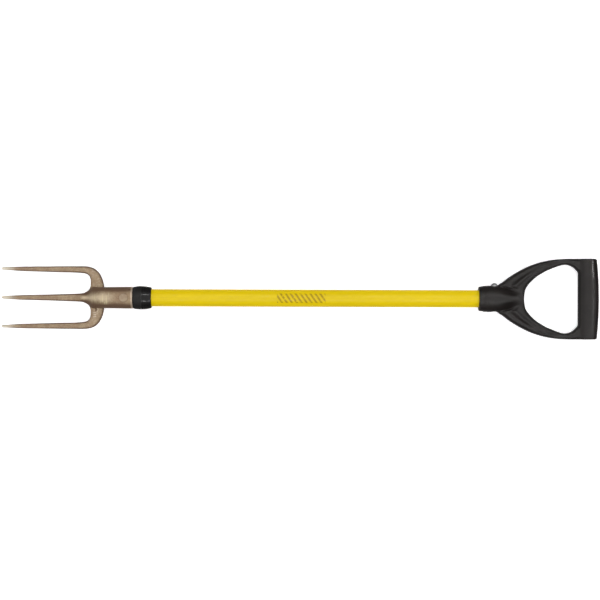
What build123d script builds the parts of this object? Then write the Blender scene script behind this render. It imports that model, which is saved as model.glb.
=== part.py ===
"""A three-tined digging fork with a hollow glass-fibre shaft and a moulded D grip.

The fork lies face up on a flat surface. X runs along the shaft, with the tines towards -X and the
grip towards +X. Y runs along the yoke and the hand bar. Z is up, and Z = 0 is the surface. The
origin is under the middle of the fork's bounding box. All sizes are in millimetres.
"""

from build123d import *

import os
from math import acos, degrees, radians, sqrt, tan

# ---------------------------------------------------------------- driving dimensions

# Shaft
SHAFT_RADIUS = 15.0
SHAFT_WALL = 4.5
BARE_SHAFT_LENGTH = 565.0  # from the collar to the grip
LOWER_CORE_LENGTH = 130.0
UPPER_CORE_LENGTH = 100.0

# Tines, seen from above
TINE_LENGTH = 153.5  # from the yoke's front edge to the tips
TINE_PITCH = 48.7  # between neighbouring tines, at the yoke
TINE_SPLAY = 1.3  # how much further out an outer tine's tip is than its root
TINE_ROOT_WIDTH = 12.2
MIDDLE_TINE_ROOT_WIDTH = 14.4
TINE_NECK_WIDTH = 7.0  # where the point begins
TINE_TIP_WIDTH = 3.2
TINE_POINT_LENGTH = 20.0
TINE_STRAIGHT = 14.0  # before the tines begin to curve up

# Tines and yoke, seen from the side
YOKE_THICKNESS = 15.0
TINE_TIP_DEPTH = 4.0
TINE_RISE = 13.0  # from the back of the yoke up to the underside of the tips

# Yoke, seen from above
YOKE_DEPTH = 25.5  # from its front edge to where its back edges meet the socket
YOKE_BACK_ANGLE = 66.5  # degrees between a back edge and the shaft
SHOULDER_RADIUS = 20.0
CROTCH_OUTER_RADIUS = 9.0  # beside an outer tine
CROTCH_INNER_RADIUS = 11.0  # beside the middle tine
CASTING_EDGE_RADIUS = 1.5

# Socket, which the shaft is bonded into
SOCKET_LENGTH = 50.0  # from the yoke's back edge to the mouth
SOCKET_WALL = 3.5
SOCKET_TAPER = 0.6  # how much slimmer it is at the yoke than at the mouth
SOCKET_MOUTH_CHAMFER = 0.8
SOCKET_DEPTH = 56.0
BOND_THICKNESS = 0.4
BOND_FLOOR_THICKNESS = 1.5
BOND_SETBACK = 2.0  # from the mouth
NOSE_LENGTH = 38.0
NOSE_TOE_LENGTH = 16.5  # how far the nose reaches along the middle tine

# Rivet through the socket
SOCKET_RIVET_SETBACK = 15.5  # from the mouth
SOCKET_RIVET_RADIUS = 3.5
SOCKET_RIVET_HEAD_RADIUS = 7.0
SOCKET_RIVET_HEAD_DEPTH = 2.6

# Collar
COLLAR_LENGTH = 32.0
COLLAR_FRONT_WALL = 3.6
COLLAR_BELLY_WALL = 5.3
COLLAR_BACK_WALL = 3.0
COLLAR_BELLY_SHARE = 0.45  # of its length from the front
COLLAR_EDGE_RADIUS = 1.2

# Grip socket
GRIP_SOCKET_LENGTH = 38.0  # from its mouth to where the arms spring
GRIP_MOUTH_WALL = 5.8
GRIP_LEAD_WALL = 7.4
GRIP_LEAD_LENGTH = 9.0
GRIP_SOCKET_WALL = 8.1
GRIP_BORE_DEPTH = 64.0

# Grip arms and hand opening
CROTCH_LENGTH = 40.5  # from where the arms spring to the hand opening
OPENING_LENGTH = 93.3
OPENING_APEX_RADIUS = 43.0
OPENING_APEX_DEPTH = 17.0
OPENING_CORNER_RADIUS = 24.0
GRIP_WIDTH = 140.0
ARM_WIDTH = 8.0  # beside the hand bar
ARM_SWEEP = 133.0  # half-length of the ellipse that the arms follow
ARM_THICKNESS = 27.0
ARM_ROOT_THICKNESS = 14.0  # where the arms spring from the socket
ARM_BEVEL = 3.5
CHANNEL_MARGIN = 5.5
CHANNEL_DEPTH = 3.5
CREST_WIDTH = 34.0  # left standing between the channels

# Hand bar
BAR_DEPTH = 36.5
BAR_THICKNESS = 33.0
BAR_CROWN = 3.6  # how much further back the bar's middle is than its ends
BAR_EDGE_RADIUS = 12.0
BAR_END_RADIUS = 2.0

# Rivet through the grip
GRIP_RIVET_SETBACK = 27.5  # from the grip's mouth
GRIP_RIVET_RADIUS = 3.2
GRIP_RIVET_HEAD_RADIUS = 6.2
GRIP_RIVET_HEAD_HEIGHT = 5.8
HEAD_SEAT_DEPTH = 1.5
BURR_RADIUS = 6.2
BURR_THICKNESS = 1.2
BURR_CLEARANCE = 0.4
BURR_RECESS_DEPTH = 4.4
GRIP_RIVET_TAIL_RADIUS = 4.8
GRIP_RIVET_TAIL_HEIGHT = 2.0

# ---------------------------------------------------------------- sizes and places that follow

SOCKET_BORE_RADIUS = SHAFT_RADIUS + BOND_THICKNESS
SOCKET_MOUTH_RADIUS = SOCKET_BORE_RADIUS + SOCKET_WALL
SOCKET_NOSE_RADIUS = SOCKET_MOUTH_RADIUS - SOCKET_TAPER
SHAFT_BORE_RADIUS = SHAFT_RADIUS - SHAFT_WALL
GRIP_SOCKET_RADIUS = SHAFT_RADIUS + GRIP_SOCKET_WALL
OPENING_HALF_WIDTH = GRIP_WIDTH / 2 - ARM_WIDTH

OVERALL_LENGTH = (
    TINE_LENGTH
    + YOKE_DEPTH
    + SOCKET_LENGTH
    + COLLAR_LENGTH
    + BARE_SHAFT_LENGTH
    + GRIP_SOCKET_LENGTH
    + CROTCH_LENGTH
    + OPENING_LENGTH
    + BAR_DEPTH
)
TIP_X = -OVERALL_LENGTH / 2
YOKE_FRONT_X = TIP_X + TINE_LENGTH
YOKE_BACK_X = YOKE_FRONT_X + YOKE_DEPTH
SOCKET_MOUTH_X = YOKE_BACK_X + SOCKET_LENGTH
COLLAR_END_X = SOCKET_MOUTH_X + COLLAR_LENGTH
GRIP_MOUTH_X = COLLAR_END_X + BARE_SHAFT_LENGTH
SPRING_X = GRIP_MOUTH_X + GRIP_SOCKET_LENGTH
APEX_X = SPRING_X + CROTCH_LENGTH
BAR_FRONT_X = APEX_X + OPENING_LENGTH
BAR_BACK_X = BAR_FRONT_X + BAR_DEPTH
NOSE_TOE_X = YOKE_FRONT_X - NOSE_TOE_LENGTH
SOCKET_START_X = NOSE_TOE_X + NOSE_LENGTH
SOCKET_FLOOR_X = SOCKET_MOUTH_X - SOCKET_DEPTH
SHAFT_START_X = SOCKET_FLOOR_X + BOND_FLOOR_THICKNESS
SHAFT_END_X = GRIP_MOUTH_X + GRIP_BORE_DEPTH
SOCKET_RIVET_X = SOCKET_MOUTH_X - SOCKET_RIVET_SETBACK
GRIP_RIVET_X = GRIP_MOUTH_X + GRIP_RIVET_SETBACK

SHAFT_Z = GRIP_SOCKET_RADIUS  # the yoke's back and the grip's socket both rest on Z = 0
SHAFT_AXIS = Axis((0, 0, SHAFT_Z), (1, 0, 0))
SIDE = Plane.XZ  # sketch x is X and sketch y is Z
GRIP_MIDDLE = Plane.XY.offset(SHAFT_Z)


def across_shaft(x):
    """A sketch plane square to the shaft at a place along it, centred on the shaft's axis."""
    return Plane(origin=(x, 0, SHAFT_Z), x_dir=(0, 1, 0), z_dir=(1, 0, 0))


def corner(sketch, x, y):
    """The sketch's vertex nearest to a point of the XY plane."""
    return sketch.vertices().sort_by(lambda v: (v.X - x) ** 2 + (v.Y - y) ** 2)[0]


# ---------------------------------------------------------------- rivet through the socket

# The rivet before it is ground flush, which is also the shape of its hole: a shank with a
# countersunk head at each end, standing upright through the shaft.
with BuildPart() as socket_rivet_blank:
    head_z = SOCKET_MOUTH_RADIUS
    with BuildSketch(Plane(origin=(SOCKET_RIVET_X, 0, SHAFT_Z), x_dir=(1, 0, 0), z_dir=(0, -1, 0))):
        with BuildLine():
            Polyline(
                (0, -2 * head_z),
                (SOCKET_RIVET_HEAD_RADIUS, -2 * head_z),
                (SOCKET_RIVET_HEAD_RADIUS, -head_z),
                (SOCKET_RIVET_RADIUS, SOCKET_RIVET_HEAD_DEPTH - head_z),
                (SOCKET_RIVET_RADIUS, head_z - SOCKET_RIVET_HEAD_DEPTH),
                (SOCKET_RIVET_HEAD_RADIUS, head_z),
                (SOCKET_RIVET_HEAD_RADIUS, 2 * head_z),
                (0, 2 * head_z),
                close=True,
            )
        make_face()
    revolve(axis=Axis((SOCKET_RIVET_X, 0, SHAFT_Z), (0, 0, 1)))

# The outside of the socket, a slim cone, which also trims the rivet flush.
with BuildPart() as socket_barrel:
    with BuildSketch(SIDE):
        with BuildLine():
            Polyline(
                (SOCKET_START_X, SHAFT_Z),
                (SOCKET_START_X, SHAFT_Z + SOCKET_NOSE_RADIUS),
                (SOCKET_MOUTH_X - SOCKET_MOUTH_CHAMFER, SHAFT_Z + SOCKET_MOUTH_RADIUS),
                (SOCKET_MOUTH_X, SHAFT_Z + SOCKET_MOUTH_RADIUS - SOCKET_MOUTH_CHAMFER),
                (SOCKET_MOUTH_X, SHAFT_Z),
                close=True,
            )
        make_face()
    revolve(axis=SHAFT_AXIS)

with BuildPart() as socket_rivet:
    add(socket_barrel.part)
    add(socket_rivet_blank.part, mode=Mode.INTERSECT)

# ---------------------------------------------------------------- fork head


def tine_points(root_x, root_y, tip_y, root_half, turn):
    """One edge of a tine seen from above, from its root to its tip; turn is the edge's side."""
    neck_share = TINE_POINT_LENGTH / TINE_LENGTH
    neck_y = tip_y + (root_y - tip_y) * neck_share
    return [
        (root_x, root_y + turn * root_half),
        (TIP_X + TINE_POINT_LENGTH, neck_y + turn * TINE_NECK_WIDTH / 2),
        (TIP_X, tip_y + turn * TINE_TIP_WIDTH / 2),
    ]


def ease(share):
    """0 to 1 as share goes from 0 to 1, level at both ends."""
    share = min(max(share, 0.0), 1.0)
    return share * share * (3 - 2 * share)


shoulder_y = TINE_PITCH + TINE_ROOT_WIDTH / 2
back_run = 1 / tan(radians(YOKE_BACK_ANGLE))  # how far a back edge runs along X for each mm of Y
shoulder_x = YOKE_BACK_X - (shoulder_y - SOCKET_NOSE_RADIUS) * back_run

with BuildPart() as tines_and_yoke:
    # The outline from above, cut to the outline from the side.
    with BuildSketch() as head_plan:
        outer_tip_y = TINE_PITCH + TINE_SPLAY
        outer_root = TINE_ROOT_WIDTH / 2
        half = tine_points(YOKE_FRONT_X, 0, 0, MIDDLE_TINE_ROOT_WIDTH / 2, 1)[::-1]
        half += tine_points(YOKE_FRONT_X, TINE_PITCH, outer_tip_y, outer_root, -1)
        half += tine_points(shoulder_x, TINE_PITCH, outer_tip_y, outer_root, 1)[::-1]
        half += [(YOKE_BACK_X + SOCKET_NOSE_RADIUS * back_run, 0)]
        with BuildLine():
            Polyline(*half, *[(x, -y) for x, y in half[-2::-1]], close=True)
        make_face()
        for side in (-1, 1):
            fillet(corner(head_plan, shoulder_x, side * shoulder_y), SHOULDER_RADIUS)
            outer_crotch_y = side * (TINE_PITCH - TINE_ROOT_WIDTH / 2)
            fillet(corner(head_plan, YOKE_FRONT_X, outer_crotch_y), CROTCH_OUTER_RADIUS)
            inner_crotch_y = side * MIDDLE_TINE_ROOT_WIDTH / 2
            fillet(corner(head_plan, YOKE_FRONT_X, inner_crotch_y), CROTCH_INNER_RADIUS)
    extrude(amount=2 * SHAFT_Z)
    with BuildSketch(SIDE):
        with BuildLine():
            bend_x = YOKE_FRONT_X - TINE_STRAIGHT
            end_x = SOCKET_START_X + YOKE_DEPTH
            back = Line((end_x, 0), (bend_x, 0))
            TangentArc(back @ 1, (TIP_X, TINE_RISE), tangent=back % 1)
            Line((TIP_X, TINE_RISE), (TIP_X, TINE_RISE + TINE_TIP_DEPTH))
            face = Line((end_x, YOKE_THICKNESS), (bend_x, YOKE_THICKNESS))
            TangentArc(face @ 1, (TIP_X, TINE_RISE + TINE_TIP_DEPTH), tangent=face % 1)
            Line(face @ 0, back @ 0)
        make_face()
    extrude(amount=shoulder_y + TINE_SPLAY, both=True, mode=Mode.INTERSECT)
    long_edges = tines_and_yoke.edges().filter_by(lambda e: e.length > 2 * TINE_TIP_DEPTH)
    fillet(long_edges.filter_by(Axis.Z, reverse=True), CASTING_EDGE_RADIUS)

with BuildPart() as nose:
    # The nose swells from the middle tine's section to the socket's round one.
    for step in range(7):
        share = step / 6
        half_width = MIDDLE_TINE_ROOT_WIDTH / 2
        half_width += (SOCKET_NOSE_RADIUS - half_width) * ease((share - 0.15) / 0.45)
        crown_z = YOKE_THICKNESS + (SHAFT_Z + SOCKET_NOSE_RADIUS - YOKE_THICKNESS) * ease(share)
        belly_z = CASTING_EDGE_RADIUS + (SHAFT_Z - SOCKET_NOSE_RADIUS - CASTING_EDGE_RADIUS) * share
        section = across_shaft(NOSE_TOE_X + share * NOSE_LENGTH)
        with BuildSketch(section):
            with Locations((0, (crown_z + belly_z) / 2 - SHAFT_Z)):
                Ellipse(half_width, (crown_z - belly_z) / 2)
    loft()

with BuildPart() as fork_head:
    add(tines_and_yoke.part)
    add(nose.part)
    add(socket_barrel.part)
    with BuildSketch(across_shaft(SOCKET_FLOOR_X)):
        Circle(SOCKET_BORE_RADIUS)
    extrude(amount=SOCKET_DEPTH, mode=Mode.SUBTRACT)
    add(socket_rivet_blank.part, mode=Mode.SUBTRACT)

# ---------------------------------------------------------------- shaft, cores, bond and collar

# The rivet through the grip, and the hole it leaves: a shank lying along Y, a flat seat for the
# round head on the +Y side and a recess for the burr and the closed tail on the -Y side.
HEAD_SEAT_Y = GRIP_SOCKET_RADIUS - HEAD_SEAT_DEPTH
BURR_SEAT_Y = -(GRIP_SOCKET_RADIUS - BURR_RECESS_DEPTH)
TAIL_SEAT_Y = BURR_SEAT_Y - BURR_THICKNESS
RIVET_START = Plane(origin=(GRIP_RIVET_X, 0, SHAFT_Z), x_dir=(1, 0, 0), z_dir=(0, 1, 0))

with BuildPart() as grip_rivet_hole:
    with BuildSketch(RIVET_START.offset(BURR_SEAT_Y)):
        Circle(GRIP_RIVET_RADIUS)
    extrude(amount=HEAD_SEAT_Y - BURR_SEAT_Y)
    with BuildSketch(RIVET_START.offset(HEAD_SEAT_Y)):
        Circle(GRIP_RIVET_HEAD_RADIUS)
    extrude(amount=GRIP_SOCKET_RADIUS)
    with BuildSketch(RIVET_START.offset(BURR_SEAT_Y)):
        Circle(BURR_RADIUS + BURR_CLEARANCE)
    extrude(amount=-GRIP_SOCKET_RADIUS)

with BuildPart() as shaft_tube:
    with BuildSketch(across_shaft(SHAFT_START_X)):
        Circle(SHAFT_RADIUS)
        Circle(SHAFT_BORE_RADIUS, mode=Mode.SUBTRACT)
    extrude(amount=SHAFT_END_X - SHAFT_START_X)
    add(socket_rivet_blank.part, mode=Mode.SUBTRACT)
    add(grip_rivet_hole.part, mode=Mode.SUBTRACT)

with BuildPart() as lower_core:
    with BuildSketch(across_shaft(SHAFT_START_X)):
        Circle(SHAFT_BORE_RADIUS)
    extrude(amount=LOWER_CORE_LENGTH)
    add(socket_rivet_blank.part, mode=Mode.SUBTRACT)

with BuildPart() as upper_core:
    with BuildSketch(across_shaft(SHAFT_END_X)):
        Circle(SHAFT_BORE_RADIUS)
    extrude(amount=-UPPER_CORE_LENGTH)
    add(grip_rivet_hole.part, mode=Mode.SUBTRACT)

# The resin between the shaft and the socket, closed under the shaft's end.
with BuildPart() as socket_bond:
    with BuildSketch(across_shaft(SOCKET_FLOOR_X)):
        Circle(SOCKET_BORE_RADIUS)
    extrude(amount=SOCKET_DEPTH - BOND_SETBACK)
    with BuildSketch(across_shaft(SHAFT_START_X)):
        Circle(SHAFT_RADIUS)
    extrude(amount=SOCKET_DEPTH, mode=Mode.SUBTRACT)
    add(socket_rivet_blank.part, mode=Mode.SUBTRACT)

with BuildPart() as socket_collar:
    bore_z = SHAFT_Z + SHAFT_RADIUS
    with BuildSketch(SIDE) as collar_profile:
        with BuildLine():
            front = Line((SOCKET_MOUTH_X, bore_z), (SOCKET_MOUTH_X, bore_z + COLLAR_FRONT_WALL))
            belly = ThreePointArc(
                front @ 1,
                (SOCKET_MOUTH_X + COLLAR_BELLY_SHARE * COLLAR_LENGTH, bore_z + COLLAR_BELLY_WALL),
                (COLLAR_END_X, bore_z + COLLAR_BACK_WALL),
            )
            Polyline(belly @ 1, (COLLAR_END_X, bore_z), front @ 0)
        make_face()
        outer_corners = collar_profile.vertices().sort_by(Axis.Y)[-2:]
        fillet(outer_corners, COLLAR_EDGE_RADIUS)
    revolve(axis=SHAFT_AXIS)

# ---------------------------------------------------------------- D grip

# Seen from above, the arms follow half an ellipse whose end is buried in the socket, and then run
# straight into the ends of the hand bar.
arm_centre_x = SPRING_X + ARM_SWEEP * sqrt(1 - (GRIP_SOCKET_RADIUS / (GRIP_WIDTH / 2)) ** 2)
bar_middle_x = BAR_FRONT_X + BAR_DEPTH / 2


def arm_outline(inset):
    """The arms' outline from above, filled, drawn in by a margin."""
    half_width = GRIP_WIDTH / 2 - inset
    with BuildSketch(GRIP_MIDDLE) as outline:
        with BuildLine():
            sweep = EllipticalCenterArc(
                (arm_centre_x, 0),
                ARM_SWEEP - inset,
                half_width,
                start_angle=90,
                arc_size=180,
            )
            Polyline(sweep @ 1, (bar_middle_x, -half_width), (bar_middle_x, half_width), sweep @ 0)
        make_face()
    return outline.sketch


def opening_outline(margin):
    """The hand opening from above, filled, grown by a margin on all sides but the hand bar's."""
    radius = OPENING_APEX_RADIUS + margin
    side_angle = degrees(acos(1 - OPENING_APEX_DEPTH / OPENING_APEX_RADIUS))
    side_y = OPENING_HALF_WIDTH + margin
    with BuildSketch(GRIP_MIDDLE) as outline:
        with BuildLine():
            apex = CenterArc(
                (APEX_X + OPENING_APEX_RADIUS, 0),
                radius,
                start_angle=180 - side_angle,
                arc_size=2 * side_angle,
            )
            left = TangentArc(apex @ 0, (BAR_FRONT_X, side_y), tangent=-(apex % 0))
            right = TangentArc(apex @ 1, (BAR_FRONT_X, -side_y), tangent=apex % 1)
            Line(left @ 1, right @ 1)
        make_face()
        for turn in (-1, 1):
            fillet(corner(outline, BAR_FRONT_X, turn * side_y), OPENING_CORNER_RADIUS)
    return outline.sketch


with BuildSketch(GRIP_MIDDLE) as channel_plan:
    add(arm_outline(CHANNEL_MARGIN))
    add(opening_outline(CHANNEL_MARGIN), mode=Mode.SUBTRACT)
    Rectangle(2 * BAR_BACK_X, CREST_WIDTH, mode=Mode.SUBTRACT)
    with Locations((bar_middle_x, 0)):
        Rectangle(2 * BAR_DEPTH, 2 * GRIP_WIDTH, mode=Mode.SUBTRACT)

with BuildPart() as arms:
    with BuildSketch(GRIP_MIDDLE):
        add(arm_outline(0))
        add(opening_outline(0), mode=Mode.SUBTRACT)
    extrude(amount=ARM_THICKNESS, both=True)
    with BuildSketch(SIDE):
        with BuildLine():
            root_x = arm_centre_x - ARM_SWEEP
            root_z = SHAFT_Z + ARM_ROOT_THICKNESS / 2
            full_z = SHAFT_Z + ARM_THICKNESS / 2
            level = Line((bar_middle_x, full_z), (APEX_X, full_z))
            TangentArc(level @ 1, (root_x, root_z), tangent=level % 1)
            Polyline((root_x, root_z), (root_x, SHAFT_Z), (bar_middle_x, SHAFT_Z), level @ 0)
        make_face()
        mirror(about=Plane.XZ.offset(-SHAFT_Z))
    extrude(amount=GRIP_WIDTH, both=True, mode=Mode.INTERSECT)
    for turn in (-1, 1):
        long_edges = arms.edges().filter_by(lambda e: e.length > ARM_THICKNESS)
        rims = long_edges.filter_by(lambda e: turn * (e.center().Z - SHAFT_Z) > ARM_BEVEL)
        chamfer(rims, ARM_BEVEL)
        with BuildSketch(GRIP_MIDDLE.offset(turn * (ARM_THICKNESS / 2 - CHANNEL_DEPTH))):
            add(channel_plan.sketch)
        extrude(amount=turn * ARM_THICKNESS, mode=Mode.SUBTRACT)

with BuildPart() as arms_and_socket:
    add(arms.part)
    # The socket, which narrows beyond the arms' springing and dies away at the hand opening.
    with BuildSketch(SIDE):
        with BuildLine():
            lead = Polyline(
                (GRIP_MOUTH_X, SHAFT_Z),
                (GRIP_MOUTH_X, SHAFT_Z + SHAFT_RADIUS + GRIP_MOUTH_WALL),
                (GRIP_MOUTH_X + GRIP_LEAD_LENGTH, SHAFT_Z + SHAFT_RADIUS + GRIP_LEAD_WALL),
                (SPRING_X, SHAFT_Z + GRIP_SOCKET_RADIUS),
            )
            crest = TangentArc(lead @ 1, (APEX_X + ARM_THICKNESS / 2, full_z), tangent=(1, 0))
            Polyline(crest @ 1, (APEX_X + ARM_THICKNESS / 2, SHAFT_Z), lead @ 0)
        make_face()
    revolve(axis=SHAFT_AXIS)
    with BuildSketch(GRIP_MIDDLE):
        add(opening_outline(0))
    extrude(amount=GRIP_SOCKET_RADIUS, both=True, mode=Mode.SUBTRACT)

with BuildPart() as hand_bar:
    bar_end_x = BAR_BACK_X - BAR_CROWN
    with BuildSketch(GRIP_MIDDLE):
        with BuildLine():
            bar_front = Line((BAR_FRONT_X, -GRIP_WIDTH / 2), (BAR_FRONT_X, GRIP_WIDTH / 2))
            end = Line(bar_front @ 1, (bar_end_x, GRIP_WIDTH / 2))
            bar_back = ThreePointArc(end @ 1, (BAR_BACK_X, 0), (bar_end_x, -GRIP_WIDTH / 2))
            Line(bar_back @ 1, bar_front @ 0)
        make_face()
    extrude(amount=BAR_THICKNESS / 2, both=True)
    fillet(hand_bar.edges().filter_by(lambda e: e.length > GRIP_WIDTH - BAR_CROWN), BAR_EDGE_RADIUS)
    end_faces = hand_bar.faces().sort_by(Axis.Y)[:1] + hand_bar.faces().sort_by(Axis.Y)[-1:]
    fillet(end_faces.edges(), BAR_END_RADIUS)

with BuildPart() as d_grip:
    add(arms_and_socket.part)
    add(hand_bar.part)
    with BuildSketch(across_shaft(GRIP_MOUTH_X)):
        Circle(SHAFT_RADIUS)
    extrude(amount=GRIP_BORE_DEPTH, mode=Mode.SUBTRACT)
    add(grip_rivet_hole.part, mode=Mode.SUBTRACT)

# ---------------------------------------------------------------- rivet through the grip

with BuildPart() as grip_rivet:
    with BuildSketch(Plane(origin=(GRIP_RIVET_X, 0, SHAFT_Z), x_dir=(1, 0, 0), z_dir=(0, 0, 1))):
        with BuildLine():
            head = ThreePointArc(
                (0, HEAD_SEAT_Y + GRIP_RIVET_HEAD_HEIGHT),
                (0.72 * GRIP_RIVET_HEAD_RADIUS, HEAD_SEAT_Y + 0.68 * GRIP_RIVET_HEAD_HEIGHT),
                (GRIP_RIVET_HEAD_RADIUS, HEAD_SEAT_Y),
            )
            Polyline(
                head @ 1,
                (GRIP_RIVET_RADIUS, HEAD_SEAT_Y),
                (GRIP_RIVET_RADIUS, TAIL_SEAT_Y),
                (GRIP_RIVET_TAIL_RADIUS, TAIL_SEAT_Y),
                (0.8 * GRIP_RIVET_TAIL_RADIUS, TAIL_SEAT_Y - GRIP_RIVET_TAIL_HEIGHT),
                (0, TAIL_SEAT_Y - GRIP_RIVET_TAIL_HEIGHT),
                head @ 0,
            )
        make_face()
    revolve(axis=Axis((GRIP_RIVET_X, 0, SHAFT_Z), (0, 1, 0)))

with BuildPart() as rivet_burr:
    with BuildSketch(RIVET_START.offset(TAIL_SEAT_Y)):
        Circle(BURR_RADIUS)
        Circle(GRIP_RIVET_RADIUS, mode=Mode.SUBTRACT)
    extrude(amount=BURR_THICKNESS)

# ---------------------------------------------------------------- finished pieces

finished = {
    "fork_head": fork_head,
    "socket_rivet": socket_rivet,
    "socket_collar": socket_collar,
    "shaft_tube": shaft_tube,
    "lower_core": lower_core,
    "upper_core": upper_core,
    "socket_bond": socket_bond,
    "d_grip": d_grip,
    "grip_rivet": grip_rivet,
    "rivet_burr": rivet_burr,
}
os.makedirs("parts", exist_ok=True)
for name, piece in finished.items():
    piece.part.label = name
    export_step(piece.part, f"parts/{name}.step")
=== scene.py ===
"""The looks of a digging fork: a cast bronze head, a yellow glass-fibre shaft and a black D grip.

Everything is in metres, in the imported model's own frame: X runs along the shaft from the tines to
the grip, Y runs across the tines, and Z is up from the floor that the fork lies on.
"""

import math

import bmesh
import bpy
from mathutils import Matrix, Vector


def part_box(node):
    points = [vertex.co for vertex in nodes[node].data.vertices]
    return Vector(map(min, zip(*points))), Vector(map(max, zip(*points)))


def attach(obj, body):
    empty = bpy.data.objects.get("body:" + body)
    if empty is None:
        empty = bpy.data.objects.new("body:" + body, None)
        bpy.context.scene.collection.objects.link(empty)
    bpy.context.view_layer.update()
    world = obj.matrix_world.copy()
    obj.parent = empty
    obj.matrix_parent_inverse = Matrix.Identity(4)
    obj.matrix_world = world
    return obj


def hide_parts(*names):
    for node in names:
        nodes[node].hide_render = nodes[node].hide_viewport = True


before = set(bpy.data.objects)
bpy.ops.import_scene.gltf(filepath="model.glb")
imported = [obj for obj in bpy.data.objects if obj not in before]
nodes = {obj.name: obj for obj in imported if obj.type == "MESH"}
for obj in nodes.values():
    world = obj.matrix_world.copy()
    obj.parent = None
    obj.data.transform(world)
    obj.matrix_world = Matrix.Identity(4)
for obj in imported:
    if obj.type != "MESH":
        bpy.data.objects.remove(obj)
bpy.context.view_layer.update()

# ---------------------------------------------------------------- sizes read from the frame

MM = 0.001

head_low, head_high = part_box("fork_head")
collar_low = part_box("socket_collar")[0]
shaft_low, shaft_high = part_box("shaft_tube")
grip_low, grip_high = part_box("d_grip")
grip_rivet_low, grip_rivet_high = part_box("grip_rivet")
socket_rivet_low, socket_rivet_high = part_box("socket_rivet")

AXIS_Z = (shaft_low.z + shaft_high.z) / 2
SHAFT_RADIUS = (shaft_high.z - shaft_low.z) / 2
TIP_X = head_low.x
SOCKET_RIVET_X = (socket_rivet_low.x + socket_rivet_high.x) / 2
GRIP_RIVET_X = (grip_rivet_low.x + grip_rivet_high.x) / 2
BLOW_HOLE = (TIP_X + 163.3 * MM, -20.9 * MM)
BARS = 3  # cast bars beside the blow hole
BARS_PITCH = 3.3 * MM
BARS_START = BLOW_HOLE[1] - 13.6 * MM
MARK_START = -40 * MM  # the printed mark, along the shaft
MARK_END = 45 * MM
MARK_PITCH = 8.5 * MM

# ---------------------------------------------------------------- materials


class Level:
    """A number that varies over a surface. Sums written with it become Math nodes."""

    def __init__(self, web, socket):
        self.web = web
        self.socket = socket

    def join(self, operation, first, second):
        made = self.web.node("ShaderNodeMath", {"operation": operation}, {0: first, 1: second})
        return Level(self.web, made)

    def __add__(self, other):
        return self.join("ADD", self, other)

    def __radd__(self, other):
        return self.join("ADD", other, self)

    def __sub__(self, other):
        return self.join("SUBTRACT", self, other)

    def __rsub__(self, other):
        return self.join("SUBTRACT", other, self)

    def __mul__(self, other):
        return self.join("MULTIPLY", self, other)

    def __rmul__(self, other):
        return self.join("MULTIPLY", other, self)

    def __pow__(self, other):
        return self.join("POWER", self, other)

    def ramp(self, low, high):
        """0 at or below low and 1 at or above high, eased between; low may be the larger."""
        settings = {"interpolation_type": "SMOOTHSTEP", "clamp": True}
        inputs = {"Value": self, "From Min": low, "From Max": high, "To Min": 0.0, "To Max": 1.0}
        return Level(self.web, self.web.node("ShaderNodeMapRange", settings, inputs, "Result"))

    def size(self):
        """The level without its sign."""
        return self.join("ABSOLUTE", self, 0.0)

    def part(self):
        """The level's part after the point, which repeats from 0 to 1."""
        return self.join("FRACT", self, 0.0)


class Web:
    """A node tree under construction."""

    def __init__(self, tree):
        self.tree = tree

    def node(self, kind, settings=None, inputs=None, output=0):
        """Adds any node: its settings first, then the values or links of its sockets."""
        made = self.tree.nodes.new(kind)
        for key, value in (settings or {}).items():
            setattr(made, key, value)
        for key, value in (inputs or {}).items():
            self.feed(made.inputs[key], value)
        return made.outputs[output]

    def feed(self, socket, value):
        if isinstance(value, Level):
            value = value.socket
        if isinstance(value, bpy.types.NodeSocket):
            self.tree.links.new(value, socket)
        elif isinstance(value, (tuple, list)) and socket.type == "RGBA" and len(value) == 3:
            socket.default_value = (*value, 1.0)
        else:
            socket.default_value = value

    def axes(self, place):
        """The three coordinates of a place, as levels."""
        split = self.node("ShaderNodeSeparateXYZ", None, {0: place}).node
        return [Level(self, split.outputs[i]) for i in range(3)]


class Finish(Web):
    """One material under construction, with a Principled shader at its end."""

    def __init__(self, name, **constants):
        self.material = bpy.data.materials.new(name)
        self.material.use_nodes = True
        super().__init__(self.material.node_tree)
        self.tree.nodes.clear()
        output = self.tree.nodes.new("ShaderNodeOutputMaterial")
        self.shader = self.tree.nodes.new("ShaderNodeBsdfPrincipled")
        self.tree.links.new(self.shader.outputs[0], output.inputs["Surface"])
        for socket, value in constants.items():
            self.shader.inputs[socket.replace("_", " ")].default_value = value
        self.place = self.node("ShaderNodeTexCoord", output="Object")
        self.facing = self.node("ShaderNodeTexCoord", output="Normal")

    def set(self, **inputs):
        for socket, value in inputs.items():
            self.feed(self.shader.inputs[socket.replace("_", " ")], value)

    def stretched(self, scale):
        """The place on the object, scaled by its own amount along each axis."""
        return self.node("ShaderNodeMapping", None, {"Vector": self.place, "Scale": scale})

    def noise(self, scale, detail, roughness, where=None):
        inputs = {"Vector": where or self.place, "Scale": scale, "Detail": detail, "Roughness": roughness}
        return Level(self, self.node("ShaderNodeTexNoise", None, inputs, "Fac"))

    def cells(self, scale):
        """The distance to the nearest of many scattered points."""
        inputs = {"Vector": self.place, "Scale": scale}
        return Level(self, self.node("ShaderNodeTexVoronoi", None, inputs, "Distance"))

    def away(self, x, y):
        """The distance from an upright line at x and y, seen from above."""
        across, along = self.axes(self.place)[:2]
        return ((across - x) ** 2 + (along - y) ** 2) ** 0.5

    def blend(self, share, first, second):
        """A colour between two colours."""
        settings = {"data_type": "RGBA", "clamp_factor": True}
        return self.node("ShaderNodeMix", settings, {0: share, 6: first, 7: second}, 2)

    def bump(self, height, distance):
        inputs = {"Height": height, "Distance": distance, "Strength": 1.0}
        return self.node("ShaderNodeBump", None, inputs, "Normal")


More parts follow.
